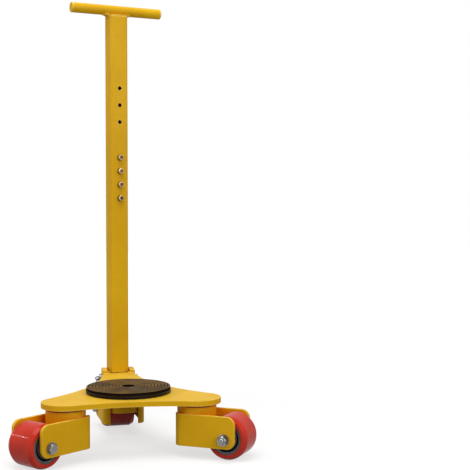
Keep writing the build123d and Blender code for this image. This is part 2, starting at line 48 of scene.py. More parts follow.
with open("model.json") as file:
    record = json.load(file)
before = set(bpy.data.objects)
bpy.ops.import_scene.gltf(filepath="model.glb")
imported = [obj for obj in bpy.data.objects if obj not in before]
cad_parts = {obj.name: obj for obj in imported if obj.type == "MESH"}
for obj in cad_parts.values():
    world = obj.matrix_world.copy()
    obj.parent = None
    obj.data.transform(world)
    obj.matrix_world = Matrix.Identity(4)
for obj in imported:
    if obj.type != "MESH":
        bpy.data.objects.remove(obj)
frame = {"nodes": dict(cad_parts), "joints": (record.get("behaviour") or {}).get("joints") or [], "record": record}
cad_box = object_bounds()
nodes = frame["nodes"]
record = frame["record"]
joints = {joint["name"]: joint for joint in frame["joints"]}
mounts = {mount["name"]: mount for mount in record["mounts"]}
body_of_node = {node: body for body, members in record["behaviour"]["bodies"].items() for node in members}
slot_of_node = {part["node"]: part["material_slot"] for part in record["subparts"]}
caster_names = ("left", "right", "rear")
floor_z = cad_box[0].z
up = Vector((0, 0, 1))

# Camera at the photograph's viewing angle, for a square picture
eye = Vector((-0.2413, -2.5986, 0.4612))
pitch_down = math.radians(2.106)
turn_right = math.radians(10.99)
sensor_mm = 36.0
lens_mm = 82.47

camera_data = bpy.data.cameras.new("photo_camera")
camera_data.sensor_width = sensor_mm
camera_data.lens = lens_mm
camera = bpy.data.objects.new("photo_camera", camera_data)
camera.location = eye
camera.rotation_euler = (math.pi / 2 - pitch_down, 0, -turn_right)
bpy.context.scene.collection.objects.link(camera)
bpy.context.scene.camera = camera
bpy.context.scene.view_settings.view_transform = "Standard"


# Node helpers, for materials and for geometry


def plug_in(tree, socket, value):
    """Link a socket to another node's output, or set its value."""
    if isinstance(value, bpy.types.NodeSocket):
        tree.links.new(value, socket)
    else:
        socket.default_value = value


def add_node(tree, kind, **inputs):
    """A node with its inputs given by name."""
    made = tree.nodes.new(kind)
    for name, value in inputs.items():
        plug_in(tree, made.inputs[name.replace("_", " ")], value)
    return made


def arithmetic(tree, operation, *values):
    """One step of arithmetic on numbers."""
    made = tree.nodes.new("ShaderNodeMath")
    made.operation = operation
    for socket, value in zip(made.inputs, values):
        plug_in(tree, socket, value)
    return made.outputs["Value"]


def product(tree, first, *others):
    """Product of two or more numbers."""
    result = first
    for other in others:
        result = arithmetic(tree, "MULTIPLY", result, other)
    return result


def spread_over(tree, value, low, high):
    """A number brought from its range to 0 to 1, and held there."""
    made = add_node(tree, "ShaderNodeMapRange", Value=value, From_Min=low, From_Max=high)
    return made.outputs["Result"]


def reach_from(tree, across, along):
    """Distance from an axis, from the two places beside it."""
    squared = arithmetic(tree, "MULTIPLY_ADD", across, across, arithmetic(tree, "POWER", along, 2.0))
    return arithmetic(tree, "SQRT", squared)


# Shader helpers

shading_samples = 6


def new_material(name):
    """A material with its node tree and its main shader."""
    material = bpy.data.materials.new(name)
    material.use_nodes = True
    tree = material.node_tree
    return material, tree, tree.nodes["Principled BSDF"]


def set_surface(tree, shader, colour, roughness, normal):
    """Link a shader's colour, roughness and bump normal."""
    for name, value in (("Base Color", colour), ("Roughness", roughness), ("Normal", normal)):
        tree.links.new(value, shader.inputs[name])


def set_gloss(shader, specular, coat, coat_roughness):
    """Constant reflection of a shader itself and of the clear coat on it."""
    shader.inputs["Specular IOR Level"].default_value = specular
    shader.inputs["Coat Weight"].default_value = coat
    shader.inputs["Coat Roughness"].default_value = coat_roughness


def own_place(tree):
    """Place on the piece, in the piece's own coordinates."""
    return tree.nodes.new("ShaderNodeTexCoord").outputs["Object"]


def wheel_place(tree):
    """Place on a wheel: ahead of its axle, along its axle and above its axle."""
    made = tree.nodes.new("ShaderNodeAttribute")
    made.attribute_name = "wheel_place"
    return made.outputs["Vector"]


def split_vector(tree, vector):
    """The three numbers of a vector, under X, Y and Z."""
    return add_node(tree, "ShaderNodeSeparateXYZ", Vector=vector).outputs


def noise(tree, scale, detail=3.0, roughness=0.5, stretch=(1, 1, 1), place=None):
    """Noise from 0 to 1 on the piece's own coordinates, or on a given place."""
    mapping = add_node(tree, "ShaderNodeMapping", Vector=place or own_place(tree), Scale=stretch)
    made = add_node(
        tree,
        "ShaderNodeTexNoise",
        Vector=mapping.outputs["Vector"],
        Scale=scale,
        Detail=detail,
        Roughness=roughness,
    )
    return made.outputs["Fac"]


def ramp(tree, value, *stops):
    """Colour ramp over a value, from (position, colour) stops."""
    made = tree.nodes.new("ShaderNodeValToRGB")
    tree.links.new(value, made.inputs["Fac"])
    points = made.color_ramp.elements
    while len(points) < len(stops):
        points.new(1.0)
    for point, (position, colour) in zip(points, stops):
        point.position = position
        point.color = (*colour, 1)
    return made.outputs["Color"]


def grey(level):
    """A grey of one level, as a colour."""
    return (level, level, level)


def blend_colour(tree, share, first, second, kind="MIX"):
    """Mix of two colours, or of two levels, by a share from 0 to 1."""
    made = tree.nodes.new("ShaderNodeMix")
    made.data_type = "RGBA"
    made.blend_type = kind
    # The colour sockets share their names with others, so they are taken by number
    sockets = (made.inputs[0], made.inputs[6], made.inputs[7])
    for socket, value in zip(sockets, (share, first, second)):
        plug_in(tree, socket, (*value, 1) if isinstance(value, tuple) else value)
    return made.outputs[2]


def bump(tree, height, strength, distance):
    """Bump normal from a height."""
    made = add_node(tree, "ShaderNodeBump", Height=height, Strength=strength, Distance=distance)
    return made.outputs["Normal"]


def near_edges(tree, width):
    """0 on open faces, rising to 1 along the edges within a width."""
    rounded = add_node(tree, "ShaderNodeBevel", Radius=width)
    rounded.samples = shading_samples
    face = tree.nodes.new("ShaderNodeNewGeometry")
    match = tree.nodes.new("ShaderNodeVectorMath")
    match.operation = "DOT_PRODUCT"
    tree.links.new(rounded.outputs["Normal"], match.inputs[0])
    tree.links.new(face.outputs["Normal"], match.inputs[1])
    open_face = 0.99
    full_edge = 0.80
    return spread_over(tree, match.outputs["Value"], open_face, full_edge)


def in_corners(tree, reach):
    """0 on open faces, rising to 1 in corners and narrow gaps."""
    made = add_node(tree, "ShaderNodeAmbientOcclusion", Distance=reach)
    made.samples = shading_samples
    open_face = 0.75
    deep_corner = 0.25
    return spread_over(tree, made.outputs["AO"], open_face, deep_corner)


def facing_up(tree):
    """0 on the sides and 1 on faces that look up."""
    normal = tree.nodes.new("ShaderNodeTexCoord").outputs["Normal"]
    steep = 0.40
    level = 0.95
    return spread_over(tree, split_vector(tree, normal)["Z"], steep, level)


# Finishes, with the places on the solids that they follow

post_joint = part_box("lower_post")[1].z
plate_bottom, plate_top = (corner.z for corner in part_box("main_plate"))
tread_from_radius = 0.0488
tread_full_radius = 0.0504
pad_groove_pitch = 0.008
pad_outer_groove = 0.0955
pad_groove_dark_from = -0.0002
pad_groove_dark_full = -0.0009


def make_yellow_paint():
    """Yellow machine paint: faint patches, orange peel, top faces paler with dust and a painted sheen, paler edges
    of thin paint and a painted highlight, and a few chips.

    Corners under the plate get a painted orange shade, in place of warm light bounced there. The joint in the post
    is painted over, so its edges aren't worn.
    """
    material, tree, shader = new_material("yellow_paint")
    deep_yellow = (0.64, 0.350, 0.005)
    clear_yellow = (0.70, 0.400, 0.008)
    speck_tint = (0.75, 0.68, 0.40)
    painted_bounce_orange = (0.90, 0.22, 0.002)
    dust = (0.74, 0.55, 0.12)
    thin_paint_and_highlight_yellow = (0.98, 0.72, 0.18)
    chip_brown = (0.13, 0.085, 0.04)
    speck_strength = 0.35
    painted_bounce_strength = 0.75
    pale_tint_strength = 0.45
    edge_lightening = 0.85
    chip_depth = 2.0

    patches = ramp(tree, noise(tree, scale=8.0, detail=4.0), (0.35, deep_yellow), (0.65, clear_yellow))
    fine_noise = noise(tree, scale=260.0, detail=4.0, roughness=0.7)
    specks = ramp(tree, fine_noise, (0.30, speck_tint), (0.42, grey(1.0)))
    speckled = blend_colour(tree, speck_strength, patches, specks, kind="MULTIPLY")
    height = split_vector(tree, own_place(tree))["Z"]
    # Painted bounce light: corners under the plate are tinted orange through the occlusion mask, in place of warm
    # light bounced there
    under_plate = spread_over(tree, height, plate_top, plate_bottom)
    painted_bounce_share = product(tree, in_corners(tree, reach=0.04), under_plate, painted_bounce_strength)
    bounce_painted = blend_colour(tree, painted_bounce_share, speckled, painted_bounce_orange)
    # Top faces get the pale dust colour: partly dust, partly a painted sheen of the light from above
    pale_top_share = product(tree, facing_up(tree), noise(tree, scale=30.0, detail=6.0, roughness=0.65))
    pale_topped = blend_colour(tree, product(tree, pale_top_share, pale_tint_strength), bounce_painted, dust)
    from_joint = arithmetic(tree, "ABSOLUTE", arithmetic(tree, "SUBTRACT", height, post_joint))
    off_joint = spread_over(tree, from_joint, low=0.004, high=0.006)
    edges = product(tree, near_edges(tree, width=0.003), off_joint)
    # Edges are paler: partly thin paint, partly a painted highlight along them
    thinned_and_highlighted = blend_colour(tree, product(tree, edges, edge_lightening), pale_topped, thin_paint_and_highlight_yellow)
    chip_noise = noise(tree, scale=140.0, detail=5.0, roughness=0.6)
    chips = product(tree, edges, spread_over(tree, chip_noise, low=0.60, high=0.66))
    colour = blend_colour(tree, chips, thinned_and_highlighted, chip_brown)

    gloss = ramp(tree, noise(tree, scale=22.0, detail=5.0), (0.3, grey(0.28)), (0.7, grey(0.42)))
    dulled = blend_colour(tree, pale_top_share, gloss, grey(0.62))
    roughness = blend_colour(tree, chips, dulled, grey(0.7))
    orange_peel = noise(tree, scale=620.0, detail=2.0)
    relief = arithmetic(tree, "SUBTRACT", orange_peel, product(tree, chips, chip_depth))
    set_surface(tree, shader, colour, roughness, bump(tree, relief, strength=0.10, distance=0.0003))
    set_gloss(shader, specular=0.0, coat=0.15, coat_roughness=0.25)
    return material


def make_red_tread():
    """Smooth red polyurethane, with scuffs that run round the tread and dust in them."""
    material, tree, shader = new_material("red_tread")
    deep_red = (0.46, 0.022, 0.010)
    clear_red = (0.55, 0.032, 0.015)
    scuff_pink = (0.58, 0.12, 0.07)
    dust = (0.32, 0.16, 0.10)
    scuff_strength = 0.28
    pale_tint_strength = 0.25
    round_the_wheel = (9, 260, 9)

    place = wheel_place(tree)
    split = split_vector(tree, place)
    from_axle = reach_from(tree, split["X"], split["Z"])
    on_tread = spread_over(tree, from_axle, tread_from_radius, tread_full_radius)
    drift = noise(tree, scale=20.0, detail=4.0, place=place)
    patches = ramp(tree, drift, (0.35, deep_red), (0.65, clear_red))
    lines = noise(tree, scale=1.0, detail=5.0, roughness=0.6, stretch=round_the_wheel, place=place)
    scuffs = product(tree, on_tread, spread_over(tree, lines, low=0.52, high=0.76))
    scuffed = blend_colour(tree, product(tree, scuffs, scuff_strength), patches, scuff_pink)
    fine_noise = noise(tree, scale=170.0, detail=5.0, roughness=0.7, place=place)
    specks = spread_over(tree, fine_noise, low=0.60, high=0.70)
    colour = blend_colour(tree, product(tree, specks, on_tread, pale_tint_strength), scuffed, dust)

    gloss_noise = noise(tree, scale=60.0, detail=5.0, place=place)
    gloss = ramp(tree, gloss_noise, (0.3, grey(0.13)), (0.7, grey(0.20)))
    roughness = blend_colour(tree, scuffs, gloss, grey(0.32))
    relief = arithmetic(tree, "ADD", noise(tree, scale=420.0, place=place), scuffs)
    set_surface(tree, shader, colour, roughness, bump(tree, relief, strength=0.03, distance=0.0003))
    set_gloss(shader, specular=0.01, coat=0.22, coat_roughness=0.10)
    return material


def make_pad_rubber():
    """Brown-black rubber: worn golden and dark patches whose lighter tones are partly a painted sheen, darker
    rings along its grooves, and dust.
    """
    material, tree, shader = new_material("pad_rubber")
    # The golden and tan tones are partly a painted sheen of the top face, as the shader itself reflects almost
    # nothing
    dark_brown = (0.050, 0.029, 0.012)
    golden = (0.190, 0.108, 0.036)
    brown = (0.080, 0.050, 0.026)
    tan = (0.180, 0.125, 0.072)
    groove_ring_dark = (0.014, 0.007, 0.003)
    dust = (0.19, 0.135, 0.07)
    worn_brown = (0.15, 0.10, 0.05)
    groove_black = (0.007, 0.0035, 0.0015)
    groove_ring_strength = 1.7
    pale_tint_strength = 0.25
    edge_lightening = 0.35

    split = split_vector(tree, own_place(tree))
    in_groove = spread_over(tree, split["Z"], pad_groove_dark_from, pad_groove_dark_full)
    # Darker rings along the grooves
    inward = arithmetic(tree, "SUBTRACT", pad_outer_groove, reach_from(tree, split["X"], split["Y"]))
    rings = arithmetic(tree, "DIVIDE", inward, pad_groove_pitch)
    wave = arithmetic(tree, "COSINE", product(tree, rings, 2 * math.pi))
    groove_ring_noise = noise(tree, scale=24.0, detail=4.0, roughness=0.6)
    recess_darkening = product(tree, spread_over(tree, wave, low=0.1, high=0.9), groove_ring_noise, groove_ring_strength)
    drift = noise(tree, scale=9.0, detail=5.0, roughness=0.65)
    patches = ramp(tree, drift, (0.34, dark_brown), (0.46, golden), (0.57, brown), (0.70, tan))
    ringed = blend_colour(tree, recess_darkening, patches, groove_ring_dark)
    dust_noise = noise(tree, scale=90.0, detail=6.0, roughness=0.7)
    pale_top_share = product(tree, facing_up(tree), dust_noise, pale_tint_strength)
    pale_topped = blend_colour(tree, pale_top_share, ringed, dust)
    edges = product(tree, near_edges(tree, width=0.0008), edge_lightening)
    edged = blend_colour(tree, edges, pale_topped, worn_brown)
    colour = blend_colour(tree, in_groove, edged, groove_black)

    polish = ramp(tree, noise(tree, scale=30.0, detail=5.0), (0.3, grey(0.38)), (0.7, grey(0.62)))
    roughness = blend_colour(tree, in_groove, polish, grey(0.8))
    relief = noise(tree, scale=520.0, detail=4.0)
    set_surface(tree, shader, colour, roughness, bump(tree, relief, strength=0.22, distance=0.0004))
    set_gloss(shader, specular=0.0, coat=0.06, coat_roughness=0.35)
    return material


def make_mottled(name, tones, worn, roughness, metallic=0.0, shine=0.5, grain=900.0, recess_darkening=0.85):
    """A finish that drifts between two tones: worn edges, corners darkened with painted shade and dirt, patchy
    gloss and a fine grain.
    """
    material, tree, shader = new_material(name)
    dark, light = tones
    smooth, dull = roughness
    edge_lightening = 0.6
    corner_shade_and_dirt_level = 0.2
    corner_shade_and_dirt_tone = tuple(corner_shade_and_dirt_level * part for part in dark)

    tone = ramp(tree, noise(tree, scale=45.0, detail=5.0, roughness=0.6), (0.3, dark), (0.7, light))
    # Corners and recesses are darkened through the occlusion mask: painted shade, and dirt
    corners = product(tree, in_corners(tree, reach=0.008), recess_darkening)
    edges = product(tree, near_edges(tree, width=0.0007), edge_lightening)
    colour = blend_colour(tree, edges, blend_colour(tree, corners, tone, corner_shade_and_dirt_tone), worn)
    gloss = ramp(tree, noise(tree, scale=110.0, detail=5.0), (0.3, grey(smooth)), (0.7, grey(dull)))
    relief = noise(tree, scale=grain, detail=4.0)
    set_surface(tree, shader, colour, gloss, bump(tree, relief, strength=0.15, distance=0.0003))
    shader.inputs["Metallic"].default_value = metallic
    shader.inputs["Specular IOR Level"].default_value = shine
    return material


def make_finishes():
    """Every finish, under the name of its material slot, and the cap screws' own zinc."""
    brown = ((0.008, 0.004, 0.0015), (0.018, 0.009, 0.0035))
    casting = (grey(0.06), grey(0.11))
    zinc = ((0.17, 0.17, 0.165), (0.30, 0.295, 0.28))
    yellow_zinc = ((0.24, 0.155, 0.07), (0.42, 0.30, 0.14))
    black = (grey(0.025), grey(0.06))
    # Dark brown tones for the bearing steel
    dark_brown_steel = ((0.09, 0.065, 0.045), (0.20, 0.165, 0.13))
    bronze = ((0.30, 0.165, 0.055), (0.42, 0.25, 0.085))
    plastic = (grey(0.015), grey(0.03))
    worn_brown = (0.05, 0.03, 0.012)
    worn_bronze = (0.58, 0.38, 0.16)
    worn_yellow_zinc = (0.66, 0.52, 0.30)
    return {
        "yellow_paint": make_yellow_paint(),
        "red_tread": make_red_tread(),
        "pad_rubber": make_pad_rubber(),
        "disc_paint": make_mottled("disc_paint", brown, worn_brown, (0.40, 0.55), shine=0.10, grain=600.0),
        "cast_iron": make_mottled("cast_iron", casting, grey(0.30), (0.5, 0.7), metallic=0.4, grain=480.0),
        # The zinc's pale edges are partly wear and partly a painted highlight on its bevels
        "zinc_steel": make_mottled("zinc_steel", zinc, grey(0.70), (0.22, 0.36), metallic=1.0, recess_darkening=0.25),
        "yellow_zinc": make_mottled("yellow_zinc", yellow_zinc, worn_yellow_zinc, (0.22, 0.40), metallic=1.0),
        "dark_steel": make_mottled("dark_steel", black, grey(0.25), (0.35, 0.5), metallic=0.8),
        "bearing_steel": make_mottled("bearing_steel", dark_brown_steel, grey(0.5), (0.16, 0.28), metallic=1.0),
        "bronze": make_mottled("bronze", bronze, worn_bronze, (0.28, 0.42), metallic=1.0),
        "slide_plastic": make_mottled("slide_plastic", plastic, grey(0.06), (0.38, 0.5)),
    }


finishes = make_finishes()


def finish_of(node):
    """Finish of a solid: its slot's, but the cap screws' zinc has a yellow tinge."""
    return finishes["yellow_zinc" if node == "splice_screws" else slot_of_node[node]]


# Piece helpers

sharp_from = math.radians(32)
joined_within = 2e-6


def shade(mesh):
    """Join loose triangles, shade rounded faces smooth and keep real edges sharp."""
    shape = bmesh.new()
    shape.from_mesh(mesh)
    bmesh.ops.remove_doubles(shape, verts=shape.verts, dist=joined_within)
    for face in shape.faces:
        face.smooth = True
    for edge in shape.edges:
        edge.smooth = edge.calc_face_angle(0) < sharp_from
    shape.to_mesh(mesh)
    shape.free()


def show(name, mesh, body, stands_for=None):
    """Put a finished mesh in the scene as a piece on a body, which may stand for a solid."""
    piece = bpy.data.objects.new(name, mesh)
    bpy.context.scene.collection.objects.link(piece)
    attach(piece, body)
    if stands_for:
        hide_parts(stands_for)
    return piece


def smooth_copy(node):
    """Smooth-shaded copy of a solid, in its own finish, that stands for it."""
    mesh = nodes[node].data.copy()
    shade(mesh)
    mesh.materials.clear()
    mesh.materials.append(finish_of(node))
    piece = show(node + "_surface", mesh, body_of_node[node], node)
    level = piece.modifiers.new("even_faces", "WEIGHTED_NORMAL")
    level.keep_sharp = True
    return piece


def turned(rows, sides, closed=False):
    """Mesh around Z from rows of (height, reach), where a reach may be a function of the angle."""
    angles = [2 * math.pi * i / sides for i in range(sides)]
    corners = []
    for height, reach in rows:
        for angle in angles:
            radius = reach(angle) if callable(reach) else reach
            corners.append((radius * math.cos(angle), radius * math.sin(angle), height))
    faces = []
    pairs = [(row, row + 1) for row in range(len(rows) - 1)]
    if closed:
        pairs.append((len(rows) - 1, 0))
    for low, high in pairs:
        for i in range(sides):
            j = (i + 1) % sides
            faces.append((low * sides + i, low * sides + j, high * sides + j, high * sides + i))
    if not closed:
        faces.append(tuple(reversed(range(sides))))
        faces.append(tuple(range(len(corners) - sides, len(corners))))
    mesh = bpy.data.meshes.new("turned")
    mesh.from_pydata(corners, [], faces)
    shade(mesh)
    return mesh


def hexagon(flats):
    """Reach of a hexagon at an angle, from its size across the flats."""
    sixth = math.pi / 3
    return lambda angle: flats / 2 / math.cos(angle % sixth - sixth / 2)


def within(outline, limit):
    """Reach of an outline, cut off at a circle."""
    return lambda angle: min(outline(angle), limit)


def guide_mesh(paths):
    """Mesh of bare edges along some paths."""
    corners = []
    edges = []
    for path in paths:
        start = len(corners)
        corners.extend(path)
        edges.extend((start + i, start + i + 1) for i in range(len(path) - 1))
    mesh = bpy.data.meshes.new("guide")
    mesh.from_pydata([tuple(corner) for corner in corners], edges, [])
    return mesh


# Geometry Nodes trees


def new_tree(name, inputs):
    """A geometry tree with named inputs of (name, kind), its inputs and the socket for its result."""
    tree = bpy.data.node_groups.new(name, "GeometryNodeTree")
    tree.interface.new_socket("Geometry", in_out="INPUT", socket_type="NodeSocketGeometry")
    for label, kind in inputs:
        tree.interface.new_socket(label, in_out="INPUT", socket_type=kind)
    tree.interface.new_socket("Geometry", in_out="OUTPUT", socket_type="NodeSocketGeometry")
    given = tree.nodes.new("NodeGroupInput").outputs
    result = tree.nodes.new("NodeGroupOutput").inputs["Geometry"]
    return tree, given, result


def end_tree(tree, geometry, finish, result):
    """Realize what a tree made and give it its finish."""
    real = add_node(tree, "GeometryNodeRealizeInstances", Geometry=geometry)
    painted = add_node(tree, "GeometryNodeSetMaterial", Geometry=real.outputs["Geometry"], Material=finish)
    tree.links.new(painted.outputs["Geometry"], result)


def make_weld_tree():
    """Weld beads along the edges of a guide: round runs with ripples across them."""
    tree, given, result = new_tree(
        "weld_beads",
        [
            ("Bead Radius", "NodeSocketFloat"),
            ("Ripple Pitch", "NodeSocketFloat"),
            ("Ripple Depth", "NodeSocketFloat"),
            ("Finish", "NodeSocketMaterial"),
        ],
    )
    steps_per_ripple = 6
    bead_sides = 12
    path = add_node(tree, "GeometryNodeMeshToCurve", Mesh=given["Geometry"]).outputs["Curve"]
    step = arithmetic(tree, "DIVIDE", given["Ripple Pitch"], steps_per_ripple)
    run = add_node(tree, "GeometryNodeResampleCurve", Curve=path)
    run.mode = "LENGTH"
    plug_in(tree, run.inputs["Length"], step)
    along = tree.nodes.new("GeometryNodeSplineParameter").outputs["Length"]
    ripples = arithmetic(tree, "DIVIDE", along, given["Ripple Pitch"])
    wave = arithmetic(tree, "SINE", product(tree, ripples, 2 * math.pi))
    swell = arithmetic(tree, "MULTIPLY_ADD", wave, given["Ripple Depth"], 1.0)
    section = add_node(
        tree,
        "GeometryNodeCurvePrimitiveCircle",
        Resolution=bead_sides,
        Radius=given["Bead Radius"],
    )
    bead = add_node(
        tree,
        "GeometryNodeCurveToMesh",
        Curve=run.outputs["Curve"],
        Profile_Curve=section.outputs["Curve"],
        Scale=swell,
        Fill_Caps=True,
    )
    soft = add_node(tree, "GeometryNodeSetShadeSmooth", Geometry=bead.outputs["Mesh"])
    end_tree(tree, soft.outputs["Geometry"], given["Finish"], result)
    return tree


def make_fastener_tree():
    """A fastener on each point of a guide, pointing along the guide's outward attribute."""
    tree, given, result = new_tree(
        "fasteners",
        [("Fastener", "NodeSocketObject"), ("Turn", "NodeSocketFloat"), ("Finish", "NodeSocketMaterial")],
    )
    outward = add_node(tree, "GeometryNodeInputNamedAttribute", Name="outward")
    outward.data_type = "FLOAT_VECTOR"
    twist = add_node(tree, "FunctionNodeAxisAngleToRotation", Axis=(0, 0, 1), Angle=given["Turn"])
    aim = add_node(
        tree,
        "FunctionNodeAlignRotationToVector",
        Rotation=twist.outputs["Rotation"],
        Vector=outward.outputs["Attribute"],
    )
    aim.axis = "Z"
    shape = add_node(tree, "GeometryNodeObjectInfo", Object=given["Fastener"])
    placed = add_node(
        tree,
        "GeometryNodeInstanceOnPoints",
        Points=given["Geometry"],
        Instance=shape.outputs["Geometry"],
        Rotation=aim.outputs["Rotation"],
    )
    end_tree(tree, placed.outputs["Instances"], given["Finish"], result)
    return tree


def grown(guide, tree, values):
    """Plain mesh of what a tree makes on a guide."""
    holder = bpy.data.objects.new("guide", guide)
    bpy.context.scene.collection.objects.link(holder)
    modifier = holder.modifiers.new(tree.name, "NODES")
    modifier.node_group = tree
    for socket in tree.interface.items_tree:
        if socket.name in values:
            modifier[socket.identifier] = values[socket.name]
    bpy.context.view_layer.update()
    evaluated = holder.evaluated_get(bpy.context.evaluated_depsgraph_get())
    mesh = bpy.data.meshes.new_from_object(evaluated)
    bpy.data.objects.remove(holder)
    return mesh


weld_tree = make_weld_tree()
fastener_tree = make_fastener_tree()


def show_welds(name, body, paths, radius):
    """Painted weld beads along some paths of a body."""
    values = {
        "Bead Radius": radius,
        "Ripple Pitch": 0.9 * radius,
        "Ripple Depth": 0.10,
        "Finish": finishes["yellow_paint"],
    }
    show(name, grown(guide_mesh(paths), weld_tree, values), body)


def show_fasteners(name, body, shape, places, outward, turn, node):
    """The same fastener at some places of a body, standing for a solid in its finish."""
    guide = bpy.data.meshes.new("guide")
    guide.from_pydata([tuple(place) for place in places], [], [])
    aim = guide.attributes.new("outward", "FLOAT_VECTOR", "POINT")
    for item in aim.data:
        item.vector = outward
    holder = bpy.data.objects.new("fastener", shape)
    values = {"Fastener": holder, "Turn": turn, "Finish": finish_of(node)}
    mesh = grown(guide, fastener_tree, values)
    bpy.data.objects.remove(holder)
    show(name, mesh, body, node)


# Sizes of the fasteners, and how far each is turned about its own axis in radians

thread_pitch = 0.002
thread_depth = 0.0009
thread_length = 0.022
end_chamfer = 0.0012
head_chamfer = 0.0030
head_face_share = 0.88
hexagon_sides = 96
axle_radius = 0.007
axle_bolt_turn = 0.68
axle_nut_bore_radius = 0.0072
axle_nut_turn = 0.8
kingpin_nut_flats = 0.030
kingpin_nut_bore_radius = 0.0102
kingpin_nut_turn = 0.3
screw_head_radius = 0.008
screw_head_height = 0.010
screw_shank_radius = 0.005
screw_shank_length = 0.0132
screw_socket_flats = 0.008
screw_socket_depth = 0.007
screw_knurls = 30
screw_knurl_depth = 0.00035
screw_sides = 180
screw_count = 4
screw_turn = 0.2

# Sizes of the welded joints

fork_plate = 0.008
swivel_head_in_fork = 0.022
post_half_width = 0.024
ear_thickness = 0.0127
fork_bead = 0.0024
hinge_bead = 0.0026
bar_bead = 0.0026
fillet_leg = 0.016
fillet_root = 0.001


def thread(radius, start, end):
    """Rows of a screw thread between two heights."""
    rows = []
    steps_per_turn = 5
    count = round((end - start) / thread_pitch * steps_per_turn)
    for i in range(count + 1):
        height = start + (end - start) * i / count

        def reach(angle, height=height):
            share = (height / thread_pitch - angle / (2 * math.pi)) % 1.0
            return radius - thread_depth * abs(2 * share - 1)

        rows.append((height, reach))
    return rows


def chamfered_top(outline, flats, height):
    """Rows of a hexagon's upper end, cut by the cone of a turned chamfer."""
    corner_radius = flats / math.sqrt(3)
    face_radius = head_face_share * flats / 2
    rows = []
    steps = 5
    for i in range(steps + 1):
        share = i / steps
        limit = corner_radius + (face_radius - corner_radius) * share
        rows.append((height - head_chamfer * (1 - share), within(outline, limit)))
    return rows


def make_hex_bolt(flats, head_height, shank_length):
    """Hexagon bolt with its head's seat at height 0, its shank below and a thread at its end."""
    outline = hexagon(flats)
    thread_top = thread_length - shank_length
    end_radius = axle_radius - 1.4 * thread_depth
    face_ring_radius = 0.76 * flats / 2
    rows = [(-shank_length, end_radius)]
    rows += thread(axle_radius, end_chamfer - shank_length, thread_top)
    rows += [(thread_top + end_chamfer, axle_radius), (0, axle_radius), (0, outline)]
    rows += chamfered_top(outline, flats, head_height)
    rows.append((head_height, face_ring_radius))
    return turned(rows, hexagon_sides)


def make_hex_nut(flats, height, bore_radius):
    """Hexagon nut with its seat at height 0, a turned chamfer and a countersunk bore."""
    outline = hexagon(flats)
    sink = 0.10 * bore_radius
    rows = [(sink, bore_radius), (0, bore_radius + sink), (0, outline)]
    rows += chamfered_top(outline, flats, height)
    rows += [(height, bore_radius + sink), (height - sink, bore_radius)]
    return turned(rows, hexagon_sides, closed=True)


def make_cap_screw():
    """Cap screw with its head's seat at height 0, a knurled side and a hexagon socket."""

    def knurled(angle):
        return screw_head_radius - screw_knurl_depth * (0.5 - 0.5 * math.cos(screw_knurls * angle))

    rim = 0.0009
    socket = hexagon(screw_socket_flats)
    socket_floor = screw_head_height - screw_socket_depth
    socket_tip_radius = 0.0005
    rows = [
        (-screw_shank_length, screw_shank_radius),
        (0, screw_shank_radius),
        (0, screw_head_radius - rim),
        (0.4 * rim, knurled),
        (screw_head_height - 2 * rim, knurled),
        (screw_head_height - 1.6 * rim, screw_head_radius - 0.2 * rim),
        (screw_head_height - 0.4 * rim, screw_head_radius - 0.6 * rim),
        (screw_head_height, screw_head_radius - 1.6 * rim),
        (screw_head_height, lambda angle: socket(angle) + 0.3 * rim),
        (screw_head_height - 0.4 * rim, socket),
        (socket_floor, socket),
        (socket_floor - 2 * rim, socket_tip_radius),
    ]
    return turned(rows, screw_sides)


def span_along(node, place, direction):
    """Lowest and highest distance of a solid from a place, along a direction."""
    distances = [(corner.co - place).dot(direction) for corner in nodes[node].data.vertices]
    return min(distances), max(distances)


def axle_of(caster):
    """Middle of a caster's wheel, the direction of its axle and the level direction across the axle."""
    spin = joints[caster + "_wheel_spin"]
    axle = Vector(spin["axis"])
    return Vector(spin["pos_m"]), axle, axle.cross(up)


# Wheels: treads that know their place on the wheel, cores and bearings


def show_wheel(caster):
    """Tread, core and bearings of one caster's wheel."""
    hub, axle, ahead = axle_of(caster)
    tread = smooth_copy(caster + "_tyre").data
    place = tread.attributes.new("wheel_place", "FLOAT_VECTOR", "POINT")
    for corner, item in zip(tread.vertices, place.data):
        arm = corner.co - hub
        item.vector = (arm.dot(ahead), arm.dot(axle), arm.z)
    smooth_copy(caster + "_wheel_core")
    smooth_copy(caster + "_wheel_bearings")


# Casters: fork and swivel head, the beads between them, axle bolt, nut, washers and spacers


def show_fork_welds(caster):
    """Upright beads on both sides of the lines where the swivel head touches the fork's cheeks."""
    pivot = Vector(joints[caster + "_swivel"]["pos_m"])
    axle, ahead = axle_of(caster)[1:]
    fork_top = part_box(caster + "_fork")[1].z
    head_bottom = fork_top - swivel_head_in_fork
    head_radius = span_along(caster + "_swivel_head", pivot, -ahead)[1]
    inner_face = span_along(caster + "_fork", pivot, axle)[1] - fork_plate
    seam_out = inner_face - 0.5 * fork_bead
    seam_apart = 0.3 * head_radius
    seams = []
    for side in (-1, 1):
        for end in (-1, 1):
            corner = pivot + ahead * end * seam_apart + axle * side * seam_out
            seams.append([corner + up * (fork_top - fork_bead), corner + up * (head_bottom + fork_bead)])
    show_welds(caster + "_fork_welds", caster + "_caster", seams, fork_bead)


